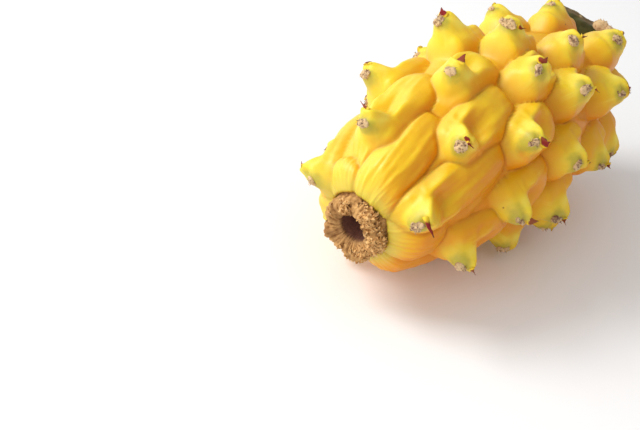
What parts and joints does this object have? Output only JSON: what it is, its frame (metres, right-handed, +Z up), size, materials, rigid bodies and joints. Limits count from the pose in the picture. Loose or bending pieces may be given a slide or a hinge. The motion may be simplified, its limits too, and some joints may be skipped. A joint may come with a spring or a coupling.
{
  "type": "yellow dragon fruit",
  "caption": "Egg-shaped yellow fruit covered in fleshy tubercles, lying on its side, with a dried hollow flower remnant at one end and a scrap of stem at the other.",
  "frame": {"origin": "centre of the fruit's box on the surface that it lies on", "axes": "+X along the fruit from the dried flower remnant to the stem, +Z up as it lies"},
  "size_m": [0.1322, 0.0722, 0.0714],
  "materials": {
    "waxy_skin": "soft waxy skin, satin, yellow with orange creases",
    "dried_flower": "dry fibrous tan remnant",
    "green_stem": "dull dark olive stem skin with a dry cut"
  },
  "bodies": {
    "root": {"fruit": "waxy_skin", "dried_crown": "dried_flower", "stem_scrap": "green_stem"}
  },
  "joints": []
}
